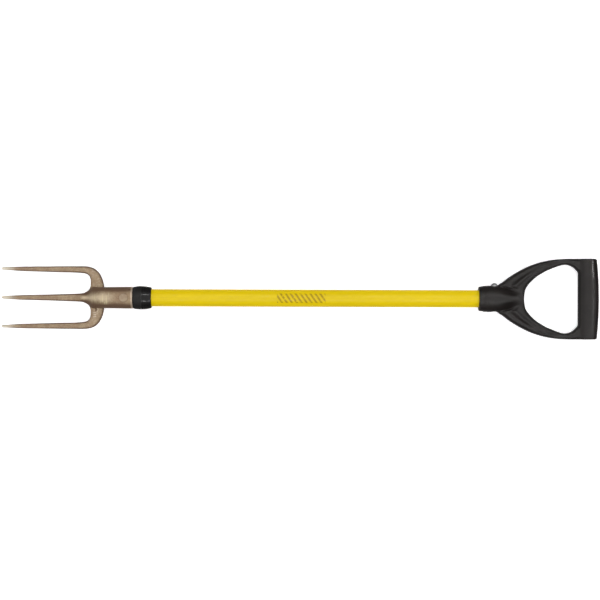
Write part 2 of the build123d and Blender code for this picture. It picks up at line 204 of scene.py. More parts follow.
def cast_bronze():
    """Blasted cast bronze: painted shade darkens its flanks and painted light pales its upward faces;
    flecks and fine grain.
    """
    skin = Finish("cast_bronze", Metallic=0.55)
    x, y, z = skin.axes(skin.place)
    ahead, aside, upright = skin.axes(skin.facing)
    grain = skin.noise(1500, 3, 0.6)
    flecks = skin.noise(310, 4, 0.68)
    patches = skin.noise(55, 5, 0.62)
    # Painted shade and light: faces turned sideways or along the shaft take the darker brown, upward faces
    # the paler tone.
    painted_top_light = (1.0 - aside * aside - ahead * ahead * 0.5 + patches * 0.3).ramp(0.66, 1.0)
    face = skin.blend(patches.ramp(0.38, 0.64), (0.320, 0.220, 0.138), (0.402, 0.296, 0.186))
    colour = skin.blend(painted_top_light, (0.215, 0.132, 0.080), face)
    arms = (x - (TIP_X + 160 * MM)).size().ramp(26 * MM, 14 * MM)
    colour = skin.blend(flecks.ramp(0.52, 0.66) * painted_top_light * (arms * 0.22 + 0.2), colour, (0.64, 0.54, 0.43))
    colour = skin.blend(flecks.ramp(0.47, 0.33) * 0.5, colour, (0.215, 0.140, 0.092))
    # A painted highlight lightens the nose's upward-facing crest, and grinding marks run across it by the
    # socket.
    painted_crest_highlight = aside.size().ramp(0.55, 0.1) * x.ramp(TIP_X + 128 * MM, TIP_X + 144 * MM)
    painted_crest_highlight = painted_crest_highlight * x.ramp(TIP_X + 205 * MM, TIP_X + 178 * MM) * z.ramp(14 * MM, 18 * MM)
    colour = skin.blend(painted_crest_highlight * (patches * 0.6 + 0.35), colour, (0.72, 0.60, 0.42))
    marks = skin.noise(1.0, 2, 0.5, skin.stretched((420, 45, 45))).ramp(0.5, 0.68)
    slope = x.ramp(TIP_X + 150 * MM, TIP_X + 162 * MM) * x.ramp(TIP_X + 194 * MM, TIP_X + 184 * MM)
    on_nose = z.ramp(15.5 * MM, 18 * MM)
    colour = skin.blend(marks * slope * painted_top_light * on_nose * 0.7, colour, (0.72, 0.64, 0.38))
    # Painted shade darkens the groove round the rivet.
    ring = skin.away(SOCKET_RIVET_X, 0)
    painted_groove_shade = ring.ramp(6.6 * MM, 7.4 * MM) * ring.ramp(9.4 * MM, 7.8 * MM)
    colour = skin.blend(painted_groove_shade * 0.45, colour, (0.24, 0.16, 0.10))
    # A blow hole and a few cast bars lie on one arm of the yoke.
    hole = skin.away(*BLOW_HOLE)
    # Painted shade darkens the hole's pit.
    painted_pit_shade = hole.ramp(2.8 * MM, 1.4 * MM) * z.ramp(8 * MM, 10 * MM)
    # A painted highlight lightens the rim's upward face on its side towards the socket.
    painted_lip_highlight = hole.ramp(3.0 * MM, 3.6 * MM) * hole.ramp(5.2 * MM, 4.0 * MM)
    painted_lip_highlight = painted_lip_highlight * x.ramp(BLOW_HOLE[0], BLOW_HOLE[0] + 3 * MM)
    colour = skin.blend(painted_lip_highlight * upright.ramp(0.3, 0.8) * 0.6, colour, (0.78, 0.68, 0.50))
    colour = skin.blend(painted_pit_shade * 0.7, colour, (0.17, 0.11, 0.075))
    bar = ((y - BARS_START) * (1 / BARS_PITCH)).part() - 0.5
    bars_end = BARS_START + BARS * BARS_PITCH
    row = y.ramp(BARS_START - 0.2 * MM, BARS_START) * y.ramp(bars_end, bars_end - 0.1 * BARS_PITCH)
    row = row * (x - (BLOW_HOLE[0] - 1.8 * MM)).size().ramp(2.9 * MM, 2.1 * MM) * upright.ramp(0.3, 0.8)
    colour = skin.blend(bar.size().ramp(0.32, 0.18) * row * 0.6, colour, (0.72, 0.63, 0.50))
    point = x.ramp(TIP_X + 30 * MM, TIP_X + 3 * MM)
    colour = skin.blend(point * 0.85, colour, (0.78, 0.71, 0.58))
    mouth = x.ramp(head_high.x - 3.6 * MM, head_high.x - 2.4 * MM)
    colour = skin.blend(mouth * 0.7, colour, (0.70, 0.58, 0.45))
    skin.set(Base_Color=colour, Roughness=0.42 + grain * 0.22 - mouth * 0.14 - point * 0.1)
    height = grain * 0.5 + flecks * 0.7 + marks * slope * on_nose * 0.5
    skin.set(Normal=skin.bump(height, 0.3 * MM))
    return skin.material


def ground_bronze():
    """The rivet's ends, ground flush with the socket."""
    skin = Finish("ground_bronze", Metallic=0.6)
    scratches = skin.noise(1.0, 4, 0.6, skin.stretched((260, 1500, 260)))
    cloud = skin.noise(160, 3, 0.6)
    colour = skin.blend(cloud.ramp(0.35, 0.65), (0.345, 0.255, 0.170), (0.42, 0.325, 0.222))
    skin.set(Base_Color=colour, Roughness=0.32 + scratches * 0.25)
    skin.set(Normal=skin.bump(scratches, 0.08 * MM))
    return skin.material


def yellow_glass_fibre():
    """Pultruded glass fibre in yellow resin: faint long fibres under a glossy skin."""
    skin = Finish("yellow_glass_fibre", Specular_IOR_Level=0.06, Coat_Weight=0.6, Coat_Roughness=0.07)
    x, y = skin.axes(skin.place)[:2]
    upright = skin.axes(skin.facing)[2]
    fibres = skin.noise(1.0, 5, 0.6, skin.stretched((7, 900, 900)))
    drift = skin.noise(7, 3, 0.5)
    colour = skin.blend(fibres.ramp(0.3, 0.7), (0.700, 0.505, 0.0), (0.765, 0.565, 0.0))
    colour = skin.blend(drift.ramp(0.35, 0.7) * 0.4, colour, (0.80, 0.58, 0.001))
    # A printed row of plain slanted bars stands where a maker would put a name.
    bars = ((x + y * 0.7 - MARK_START) * (1 / MARK_PITCH)).part()
    bar = bars.ramp(0.18, 0.3) * bars.ramp(0.78, 0.66)
    length = x.ramp(MARK_START, MARK_START + 1.5 * MM) * x.ramp(MARK_END, MARK_END - 1.5 * MM)
    height = y.size().ramp(8.6 * MM, 7.8 * MM) * upright.ramp(0.2, 0.5)
    print_mask = bar * length * height
    wear = skin.noise(260, 4, 0.6).ramp(0.72, 0.5)
    colour = skin.blend(print_mask * wear * 0.8, colour, (0.30, 0.18, 0.0))
    skin.set(Base_Color=colour, Roughness=0.34 + fibres * 0.14)
    skin.set(Normal=skin.bump(fibres, 0.03 * MM))
    return skin.material


def black_rubber():
    """Heat-shrunk rubber: dull and grained beside the socket, tight and shiny over its back half."""
    skin = Finish("black_rubber", Specular_IOR_Level=0.4)
    x = skin.axes(skin.place)[0]
    grain = skin.noise(700, 4, 0.6)
    pull = skin.noise(1.0, 3, 0.5, skin.stretched((400, 60, 60)))
    shine = x.ramp(collar_low.x + 13 * MM, collar_low.x + 17 * MM)
    dust = skin.noise(90, 4, 0.6).ramp(0.5, 0.75) * (1 - shine)
    colour = skin.blend(grain, (0.0060, 0.0054, 0.0054), (0.0125, 0.0115, 0.0112))
    colour = skin.blend(dust * 0.5, colour, (0.028, 0.027, 0.025))
    skin.set(Base_Color=colour, Roughness=0.6 - shine * 0.48 + grain * 0.05)
    skin.set(Normal=skin.bump(grain * (1.2 - shine) + pull * 0.4, 0.16 * MM))
    return skin.material


def black_plastic():
    """Moulded black plastic with a satin grain, worn smoother where the hand holds the bar."""
    skin = Finish("black_plastic", Specular_IOR_Level=0.5)
    x, y = skin.axes(skin.place)[:2]
    grain = skin.noise(1100, 3, 0.6)
    drift = skin.noise(26, 4, 0.6)
    colour = skin.blend(drift.ramp(0.3, 0.7), (0.0070, 0.0052, 0.0044), (0.0130, 0.0100, 0.0090))
    dust = skin.noise(210, 4, 0.65).ramp(0.55, 0.78)
    colour = skin.blend(dust * 0.3, colour, (0.034, 0.030, 0.028))
    polish = x.ramp(grip_high.x - 24 * MM, grip_high.x - 12 * MM) * y.ramp(28 * MM, 46 * MM)
    skin.set(Base_Color=colour, Roughness=0.37 + grain * 0.08 + drift * 0.06 - polish * 0.2)
    skin.set(Normal=skin.bump(grain * (0.5 - polish * 0.4), 0.1 * MM))
    return skin.material


def plated_steel():
    """Zinc-plated steel: bright, faintly clouded, with small dull spots."""
    skin = Finish("plated_steel", Metallic=1.0)
    haze = skin.noise(500, 4, 0.6)
    spots = skin.noise(1600, 2, 0.5).ramp(0.58, 0.7)
    colour = skin.blend(haze, (0.58, 0.58, 0.59), (0.80, 0.80, 0.80))
    colour = skin.blend(spots * 0.4, colour, (0.35, 0.34, 0.33))
    skin.set(Base_Color=colour, Roughness=0.28 + haze * 0.2 + spots * 0.2)
    skin.set(Normal=skin.bump(haze + spots * 0.5, 0.05 * MM))
    return skin.material


def core_filler():
    """A turned hardwood plug: long grain with darker pores."""
    skin = Finish("core_filler")
    rings = skin.noise(1.0, 4, 0.6, skin.stretched((20, 700, 700)))
    pores = skin.noise(1.0, 2, 0.5, skin.stretched((120, 2600, 2600))).ramp(0.6, 0.7)
    colour = skin.blend(rings, (0.45, 0.30, 0.17), (0.70, 0.52, 0.33))
    skin.set(Base_Color=skin.blend(pores, colour, (0.28, 0.17, 0.09)), Roughness=0.7 + rings * 0.2)
    skin.set(Normal=skin.bump(rings - pores, 0.1 * MM))
    return skin.material


def epoxy():
    """Cured amber resin with fine bubbles."""
    skin = Finish("epoxy")
    cloud = skin.noise(200, 3, 0.5)
    bubbles = skin.cells(900).ramp(0.28, 0.12)
    colour = skin.blend(cloud, (0.50, 0.44, 0.30), (0.62, 0.56, 0.42))
    skin.set(Base_Color=skin.blend(bubbles * 0.4, colour, (0.80, 0.76, 0.66)), Roughness=0.3 + cloud * 0.2)
    skin.set(Normal=skin.bump(bubbles, 0.1 * MM))
    return skin.material


bronze = cast_bronze()
ground = ground_bronze()
yellow = yellow_glass_fibre()
rubber = black_rubber()
plastic = black_plastic()
steel = plated_steel()
filler = core_filler()
resin = epoxy()


def coat(node, material):
    """Gives a carried-over CAD node its finish."""
    mesh = nodes[node].data
    mesh.materials.clear()
    mesh.materials.append(material)


coat("lower_core", filler)
coat("upper_core", filler)
coat("socket_bond", resin)

# ---------------------------------------------------------------- making pieces


def squircle(flat, across, up):
    """Where a point of the unit circle goes on a rounded square; a larger flat is squarer."""
    power = 2 / flat
    return math.copysign(abs(across) ** power, across), math.copysign(abs(up) ** power, up)


def loft(bm, sections, segments=48):
    """Bridges one closed ring per section and caps both ends.

    A section is a function that takes a point of the unit circle to its place on the piece.
    """
    loops = []
    for section in sections:
        ring = bmesh.ops.create_circle(bm, cap_ends=False, segments=segments, radius=1)["verts"]
        for vertex in ring:
            vertex.co = section(vertex.co.x, vertex.co.y)
        loops.append(list({edge for vertex in ring for edge in vertex.link_edges}))
    for first, second in zip(loops, loops[1:]):
        bmesh.ops.bridge_loops(bm, edges=first + second)
    for loop in (loops[0], loops[-1]):
        bmesh.ops.edgeloop_fill(bm, edges=loop)


SHAFT_LINE = (Vector((0, 0, AXIS_Z)), Vector((1, 0, 0)))


def turned(bm, profile, segments=96, line=SHAFT_LINE):
    """Spins a closed profile of (distance along, radius) points about a line that is not upright."""
    centre, axis = line
    out = Vector((0, 0, 1))
    corners = [bm.verts.new(centre + axis * along + out * radius) for along, radius in profile]
    edges = [bm.edges.new((a, b)) for a, b in zip(corners, corners[1:] + corners[:1])]
    bmesh.ops.spin(
        bm, geom=corners + edges, cent=centre, axis=axis, angle=math.tau, steps=segments, use_merge=True
    )


def close(bm):
    """Merges doubles and turns every face outwards."""
    bmesh.ops.remove_doubles(bm, verts=bm.verts, dist=0.002 * MM)
    bmesh.ops.recalc_face_normals(bm, faces=bm.faces)


def shown(bm, name, material, smooth_angle=40):
    """Makes a finished piece from its bmesh, with soft shading but for its sharp edges."""
    close(bm)
    for face in bm.faces:
        face.smooth = True
    for edge in bm.edges:
        if len(edge.link_faces) == 2 and edge.calc_face_angle() > math.radians(smooth_angle):
            edge.smooth = False
    data = bpy.data.meshes.new(name)
    bm.to_mesh(data)
    bm.free()
    data.materials.append(material)
    piece = bpy.data.objects.new(name, data)
    bpy.context.scene.collection.objects.link(piece)
    return piece


def fused(bm, grain):
    """Welds overlapping closed shells into one skin of even small faces, and returns its bmesh."""
    close(bm)
    data = bpy.data.meshes.new("blank")
    bm.to_mesh(data)
    bm.free()
    blank = bpy.data.objects.new("blank", data)
    bpy.context.scene.collection.objects.link(blank)
    weld = blank.modifiers.new("weld", "REMESH")
    weld.mode = "VOXEL"
    weld.voxel_size = grain
    ready = blank.evaluated_get(bpy.context.evaluated_depsgraph_get())
    skin = bpy.data.meshes.new_from_object(ready)
    bpy.data.objects.remove(blank)
    bpy.data.meshes.remove(data)
    result = bmesh.new()
    result.from_mesh(skin)
    bpy.data.meshes.remove(skin)
    return result


def drilled(bm, hole):
    """Cuts one closed shape out of another, and returns what is left."""
    close(bm)
    close(hole)
    things = []
    for shape in (bm, hole):
        data = bpy.data.meshes.new("blank")
        shape.to_mesh(data)
        shape.free()
        thing = bpy.data.objects.new("blank", data)
        bpy.context.scene.collection.objects.link(thing)
        things.append(thing)
    cut = things[0].modifiers.new("cut", "BOOLEAN")
    cut.operation = "DIFFERENCE"
    cut.solver = "EXACT"
    cut.object = things[1]
    left = bpy.data.meshes.new_from_object(things[0].evaluated_get(bpy.context.evaluated_depsgraph_get()))
    for thing in things:
        data = thing.data
        bpy.data.objects.remove(thing)
        bpy.data.meshes.remove(data)
    result = bmesh.new()
    result.from_mesh(left)
    bpy.data.meshes.remove(left)
    return result


def scored(bm, place, direction, reach):
    """Adds a loop of edges where a plane crosses a piece, so that fine relief can stand on it."""
    near = [v for v in bm.verts if abs((v.co - place).dot(direction)) < reach]
    edges = {edge for vertex in near for edge in vertex.link_edges}
    faces = {face for vertex in near for face in vertex.link_faces}
    corners = {vertex for face in faces for vertex in face.verts} | set(near)
    bmesh.ops.bisect_plane(
        bm,
        geom=list(corners) + list(edges) + list(faces),
        dist=0.005 * MM,
        plane_co=place,
        plane_no=direction,
    )


def soften(bm, times, where=None):
    """Smooths the vertices that a test picks, or all of them."""
    chosen = [v for v in bm.verts if where is None or where(v.co)]
    for _ in range(times):
        bmesh.ops.smooth_vert(
            bm, verts=chosen, factor=0.5, use_axis_x=True, use_axis_y=True, use_axis_z=True
        )


def flow(points, per_span):
    """A smooth run through a few given rows of numbers."""
    rows = []
    ends = [points[0]] + list(points) + [points[-1]]
    for before, start, end, after in zip(ends, ends[1:], ends[2:], ends[3:]):
        for step in range(per_span):
            t = step / per_span
            rows.append([
                0.5 * (2 * q + (r - p) * t + (2 * p - 5 * q + 4 * r - s) * t * t
                       + (3 * q - p - 3 * r + s) * t ** 3)
                for p, q, r, s in zip(before, start, end, after)
            ])
    rows.append(list(points[-1]))
    return rows


# ---------------------------------------------------------------- head

YOKE_THICKNESS = 15 * MM
TIP_DEPTH = 4 * MM
BEND = 139.5 * MM  # from the tips to where the tines begin to rise
TINE_RISE = 13 * MM
SOCKET_MOUTH_X = head_high.x
SOCKET_MOUTH_RADIUS = head_high.z - AXIS_Z
SOCKET_NOSE_RADIUS = SOCKET_MOUTH_RADIUS - 0.6 * MM
SOCKET_BORE_RADIUS = SHAFT_RADIUS + 0.4 * MM
SOCKET_FLOOR = 173 * MM  # from the tips
RIVET_STAND = 0.35 * MM  # how much wider the socket is at the rivet than at the yoke
HEAD_GRAIN = 0.75 * MM  # the size of a face in the welded head
HOLE_RADIUS = 2.4 * MM
HOLE_DEPTH = 1.1 * MM
BAR_HEIGHT = 0.4 * MM


def tine_heights(from_tip):
    """The underside and the top of a tine at a distance from its tip."""
    rise = max(0.0, (BEND - from_tip) / BEND) ** 2
    under = TINE_RISE * rise
    top = YOKE_THICKNESS + (TINE_RISE + TIP_DEPTH - YOKE_THICKNESS) * rise
    return under, top


def limb_section(outer_x, outer_y, inner_x, inner_y, flat):
    """A rounded section that stands on the line from a limb's inner edge to its outer edge."""
    middle_x, middle_y = (outer_x + inner_x) / 2, (outer_y + inner_y) / 2
    under, top = tine_heights(middle_x)

    def place(across, up):
        across, up = squircle(flat, across, up)
        return Vector((
            TIP_X + middle_x + (outer_x - inner_x) / 2 * across,
            middle_y + (outer_y - inner_y) / 2 * across,
            (under + top) / 2 + (top - under) / 2 * up,
        ))

    return place


# A yoke arm and its outer tine, from the hub round the shoulder to the tip. Each row is the outer
# edge and the inner edge as distance from the tip and distance from the middle, in millimetres.
LIMB = [
    (172.5, -2.0, 134.0, -2.0),
    (172.5, 6.0, 136.0, 6.0),
    (173.0, 9.0, 143.5, 9.0),
    (174.5, 13.0, 149.8, 13.0),
    (176.8, 18.4, 152.8, 18.4),
    (176.0, 24.0, 153.6, 24.0),
    (174.4, 30.5, 153.4, 30.5),
    (171.4, 37.8, 152.0, 36.0),
    (166.6, 45.0, 149.2, 39.6),
    (160.0, 50.4, 145.4, 41.5),
    (152.0, 53.4, 140.0, 42.5),
    (142.0, 54.5, 133.0, 43.1),
    (125.0, 54.5, 121.0, 43.6),
    (98.0, 54.3, 97.0, 44.1),
    (57.0, 53.8, 57.0, 45.2),
    (36.5, 53.5, 36.5, 45.8),
    (20.0, 53.0, 20.0, 46.7),
    (8.0, 52.6, 8.0, 47.5),
    (1.5, 52.3, 1.5, 48.0),
    (0.0, 51.7, 0.0, 48.6),
]

# The middle tine: distance from the tip and half its width.
MIDDLE_TINE = [
    (160.0, 8.0),
    (142.0, 7.7),
    (134.0, 7.1),
    (120.0, 6.4),
    (98.0, 5.7),
    (57.0, 4.5),
    (36.5, 4.1),
    (20.0, 3.4),
    (8.0, 2.8),
    (1.5, 2.3),
    (0.0, 1.6),
]

# The nose: distance from the tip, half its width, the heights of its crown and belly, and how
# full its section is, where 2 is an ellipse and less is more like a ridge.
NOSE = [
    (126.0, 5.6, 13.8, 3.0, 2.6),
    (134.0, 6.6, 15.3, 2.4, 2.2),
    (140.0, 7.6, 17.2, 2.0, 1.9),
    (145.0, 8.9, 19.8, 1.8, 1.75),
    (150.0, 11.2, 23.4, 1.8, 1.65),
    (154.5, 14.6, 27.4, 2.0, 1.6),
    (158.0, 17.2, 30.8, 2.4, 1.6),
    (162.0, 18.2, 34.4, 3.0, 1.65),
    (167.0, 18.3, 38.0, 3.8, 1.75),
    (172.0, 18.3, 40.4, 4.4, 1.87),
    (177.5, 18.3, 41.4, 4.8, 2.0),
]


def nose_section(from_tip, half_width, crown, belly, flat):
    def place(across, up):
        across, up = squircle(flat, across, up)
        return Vector((
            TIP_X + from_tip * MM,
            half_width * MM * across,
            ((crown + belly) / 2 + (crown - belly) / 2 * up) * MM,
        ))

    return place


def socket_section(x, radius):
    return lambda across, up: Vector((x, radius * across, AXIS_Z + radius * up))


def rivet_rings(proud, rim):
    """Rings of the rivet through the socket, from its lower end to its upper end.

    Each is a radius, a height above the socket's round surface and the end that it belongs to. The
    rim is the radius of the end's flat face.
    """
    end = [(0.3, proud), (5.0, proud), (rim, proud), (7.0, -0.3), (3.5, -2.6)]
    return [(*ring, -1) for ring in end] + [(*ring, 1) for ring in end[::-1]]


def rivet_ring(radius, height, turn, slack=0.0):
    """One ring of the rivet, which follows the socket's round."""

    def place(across, up):
        x, y = (radius * MM + slack) * across, (radius * MM + slack) * up
        level = math.sqrt(SOCKET_NOSE_RADIUS ** 2 - y ** 2) + RIVET_STAND + height * MM
        return Vector((SOCKET_RIVET_X + x, y, AXIS_Z + turn * level))

    return place


def bar_rise(y):
    """How much of its full height the row of cast bars has at a place across the yoke."""
    share = (y - BARS_START) / BARS_PITCH % 1.0
    return max(0.0, 1 - (abs(share - 0.5) / 0.3) ** 4)


def cast_marks(bm):
    """Sinks a blow hole into one arm of the yoke and raises a short row of bars beside it."""
    top = 9 * MM
    hole = Vector(BLOW_HOLE)
    patch = [
        edge
        for edge in bm.edges
        if all(v.co.z > top and (v.co.xy - hole).length < 14 * MM for v in edge.verts)
    ]
    bmesh.ops.subdivide_edges(bm, edges=patch, cuts=1, use_grid_fill=True)
    for vertex in bm.verts:
        if vertex.co.z < top or abs(vertex.co.x - hole.x) > 5 * MM:
            continue
        away = (vertex.co.xy - hole).length / HOLE_RADIUS
        if away < 1:
            vertex.co.z -= HOLE_DEPTH * (1 - away ** 2)
        if BARS_START < vertex.co.y < BARS_START + BARS * BARS_PITCH:
            end = abs(vertex.co.x - hole.x + 1.8 * MM) / (2.6 * MM)
            if end < 1:
                vertex.co.z += BAR_HEIGHT * bar_rise(vertex.co.y) * (1 - end ** 6)


def cast_head():
    bm = bmesh.new()
    for side in (-1, 1):
        rows = flow(LIMB, 6)
        sections = [limb_section(*(v * MM for v in row), 3.6) for row in rows]
        mirror = Matrix.Diagonal((1, side, 1))
        loft(bm, [lambda a, u, s=s, mirror=mirror: mirror @ s(a, u) for s in sections])
    rows = flow(MIDDLE_TINE, 6)
    loft(bm, [limb_section(x * MM, half * MM, x * MM, -half * MM, 3.6) for x, half in rows])
    sections = [nose_section(*row) for row in flow(NOSE, 4)]
    edge = 0.8 * MM
    for x, radius in (
        (SOCKET_MOUTH_X - edge, SOCKET_MOUTH_RADIUS),
        (SOCKET_MOUTH_X, SOCKET_MOUTH_RADIUS - edge),
        (SOCKET_MOUTH_X, SOCKET_BORE_RADIUS),
        (TIP_X + SOCKET_FLOOR, SOCKET_BORE_RADIUS),
    ):
        sections.append(socket_section(x, radius))
    loft(bm, sections, 96)
    bm = fused(bm, HEAD_GRAIN)
    soften(bm, 3)
    # The nose runs into the yoke and the middle tine in wide soft hollows.
    soften(bm, 14, lambda p: TIP_X + 128 * MM < p.x < TIP_X + 184 * MM and p.z > 8 * MM)
    cast_marks(bm)
    hole = bmesh.new()
    slack = 0.25 * MM
    rings = [rivet_ring(radius, height, turn, slack) for radius, height, turn in rivet_rings(3.0, 7.0)]
    loft(hole, rings, 64)
    return shown(drilled(bm, hole), "cast_head", bronze, 50)


head = cast_head()
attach(head, "root")
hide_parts("fork_head")

rivet = bmesh.new()
loft(rivet, [rivet_ring(radius, height, turn) for radius, height, turn in rivet_rings(0.15, 6.6)], 64)
flush_rivet = shown(rivet, "flush_rivet", ground, 35)
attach(flush_rivet, "root")
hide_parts("socket_rivet")

# ---------------------------------------------------------------- D grip

GRIP_MOUTH_X = grip_low.x
SPRING_X = GRIP_MOUTH_X + 38 * MM  # where the arms leave the socket
BAR_FRONT_X = SPRING_X + 133.8 * MM
BAR_CROWN = 3.6 * MM
BAR_HALF_HEIGHT = 16.5 * MM
GRIP_BORE_DEPTH = 64 * MM
GRIP_GRAIN = 0.95 * MM  # the size of a face in the welded grip
RING_PLACES = (9.2 * MM, 16.2 * MM)  # the socket's raised rings, from its mouth
RING_HEIGHT = 0.3 * MM
RING_HALF_WIDTH = 0.9 * MM
SEAM_HEIGHT = 0.2 * MM
GRIP_HALF_WIDTH = grip_high.y - SEAM_HEIGHT - 0.1 * MM

# One arm from the middle of the crotch to the hand bar. Each row is the edge beside the hand
# opening and the outer edge, as distance past the springing and distance from the middle, then
# half the thickness, the depth of the hollow between the two rims and of the groove beside it.
ARM = [
    (40.5, 0.0, 27.5, 0.0, 13.4, 0.0, 0.0),
    (41.1, 7.0, 26.0, 8.5, 13.4, 0.0, 0.0),
    (42.7, 15.2, 14.0, 18.5, 13.4, 2.0, 0.0),
    (44.9, 19.8, -4.5, 22.6, 13.2, 4.6, 0.0),
    (47.9, 24.0, 4.0, 29.3, 13.4, 5.6, 0.0),
    (53.0, 29.9, 14.0, 37.0, 13.8, 5.6, 0.0),
    (58.2, 34.9, 26.0, 44.8, 14.0, 5.0, 0.0),
    (63.4, 39.2, 38.5, 51.6, 14.0, 4.2, 0.4),
    (68.6, 42.4, 50.0, 57.0, 13.8, 3.2, 1.2),
    (79.0, 48.4, 66.0, 62.6, 13.4, 1.6, 2.6),
    (89.4, 52.9, 80.0, 66.0, 13.0, 0.8, 3.0),
    (99.7, 56.8, 94.0, 68.2, 12.6, 0.4, 2.2),
    (110.1, 59.3, 108.0, 69.3, 12.2, 0.0, 0.8),
    (119.5, 57.8, 119.0, 69.6, 11.8, 0.0, 0.0),
    (127.0, 53.4, 127.5, 69.6, 11.4, 0.0, 0.0),
    (135.0, 46.0, 136.0, 69.6, 11.2, 0.0, 0.0),
    (148.0, 44.0, 148.0, 69.0, 11.2, 0.0, 0.0),
]


def arm_section(inner_x, inner_y, outer_x, outer_y, half, hollow, groove, side=1):
    """A section of an arm, with a rim beside the opening, a hollow and a rounded outer lobe."""

    def place(across, up):
        across, up = squircle(3.0, across, up)
        dip = hollow * math.exp(-(((across + 0.16) / 0.27) ** 2))
        dip += groove * math.exp(-(((across - 0.2) / 0.22) ** 2))
        share = (across + 1) / 2
        return Vector((
            SPRING_X + (inner_x + (outer_x - inner_x) * share) * MM,
            side * (inner_y + (outer_y - inner_y) * share) * MM,
            AXIS_Z + (half - dip) * up * MM,
        ))

    return place


def bar_section(y):
    """A rounded section of the hand bar; the bar's back is crowned and its ends are eased."""
    from_end = max(0.0, 2 * MM - (GRIP_HALF_WIDTH - abs(y)))
    ease = from_end - math.sqrt(max(0.0, (2 * MM) ** 2 - from_end ** 2)) + 2 * MM if from_end else 0.0
    back = grip_high.x - SEAM_HEIGHT - 0.05 * MM - BAR_CROWN * (y / GRIP_HALF_WIDTH) ** 2 - ease / 2
    front = BAR_FRONT_X + ease / 2
    half_height = BAR_HALF_HEIGHT - ease / 2

    def place(across, up):
        across, up = squircle(2.35, across, up)
        return Vector(((front + back) / 2 + (back - front) / 2 * across, y, AXIS_Z + half_height * up))

    return place


# The socket: distance from the mouth and radius.
GRIP_SOCKET = [
    (0.0, 20.2),
    (0.8, 20.9),
    (3.5, 21.1),
    (8.6, 22.0),
    (9.4, 22.35),
    (15.6, 22.45),
    (16.4, 22.75),
    (28.0, 23.0),
    (34.0, 22.8),
    (40.0, 21.6),
    (47.0, 19.7),
    (54.0, 18.2),
    (60.0, 17.6),
    (69.0, 17.5),
    (70.0, 0.0),
]

# The crest that runs on from the socket and spreads into the rim of the hand opening: distance
# from the mouth, half its width and half its height.
CREST = [
    (26.0, 18.0, 22.6),
    (34.0, 17.5, 22.8),
    (42.0, 16.0, 22.6),
    (50.0, 13.6, 21.9),
    (57.0, 12.0, 20.6),
    (63.0, 12.4, 18.8),
    (68.0, 15.4, 16.8),
    (72.0, 20.0, 15.2),
    (75.0, 24.0, 14.2),
    (76.6, 25.0, 13.0),
]


def crest_section(from_mouth, half_width, half_height):
    def place(across, up):
        across, up = squircle(2.3, across, up)
        return Vector((
            GRIP_MOUTH_X + from_mouth * MM,
            half_width * MM * across,
            AXIS_Z + half_height * MM * up,
        ))

    return place


RIVET_LINE = (Vector((GRIP_RIVET_X, 0, AXIS_Z)), Vector((0, 1, 0)))
burr_low, burr_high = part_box("rivet_burr")
BURR_SEAT_Y = burr_high.y
RIVET_HEAD_RADIUS = 6.2 * MM
RIVET_HEAD_HEIGHT = 5.8 * MM
SHANK_RADIUS = 3.2 * MM
RIVET_PLAY = 0.1 * MM
SEAT_Y = grip_rivet_high.y - RIVET_HEAD_HEIGHT
BURR_RECESS = (burr_high.x - burr_low.x) / 2 + 0.4 * MM


def moulded_relief(bm):
    """Raises two fine rings round the socket and the seam that the mould's halves leave."""
    along = Vector((1, 0, 0))
    for from_mouth in RING_PLACES:
        ring = GRIP_MOUTH_X + from_mouth
        for step in range(-2, 3):
            scored(bm, Vector((ring + step * RING_HALF_WIDTH / 2, 0, 0)), along, 3 * MM)
        for vertex in bm.verts:
            out = vertex.co - Vector((vertex.co.x, 0, AXIS_Z))
            share = abs(vertex.co.x - ring) / RING_HALF_WIDTH
            if share < 1 and out.length > SHAFT_RADIUS + 3 * MM:
                vertex.co += out.normalized() * RING_HEIGHT * (1 - share ** 2)
    for step in (-1, 0, 1):
        scored(bm, Vector((0, 0, AXIS_Z + step * 0.4 * MM)), Vector((0, 0, 1)), 2 * MM)
    bm.normal_update()
    for vertex in bm.verts:
        on_seam = abs(vertex.co.z - AXIS_Z) < 0.02 * MM
        in_bore = vertex.co.x < GRIP_MOUTH_X + GRIP_BORE_DEPTH + 1 * MM
        in_bore = in_bore and abs(vertex.co.y) < SHAFT_RADIUS + 2 * MM
        by_rivet = abs(vertex.co.x - GRIP_RIVET_X) < 9 * MM
        if on_seam and not in_bore and not by_rivet:
            vertex.co += Vector((vertex.normal.x, vertex.normal.y, 0)).normalized() * SEAM_HEIGHT


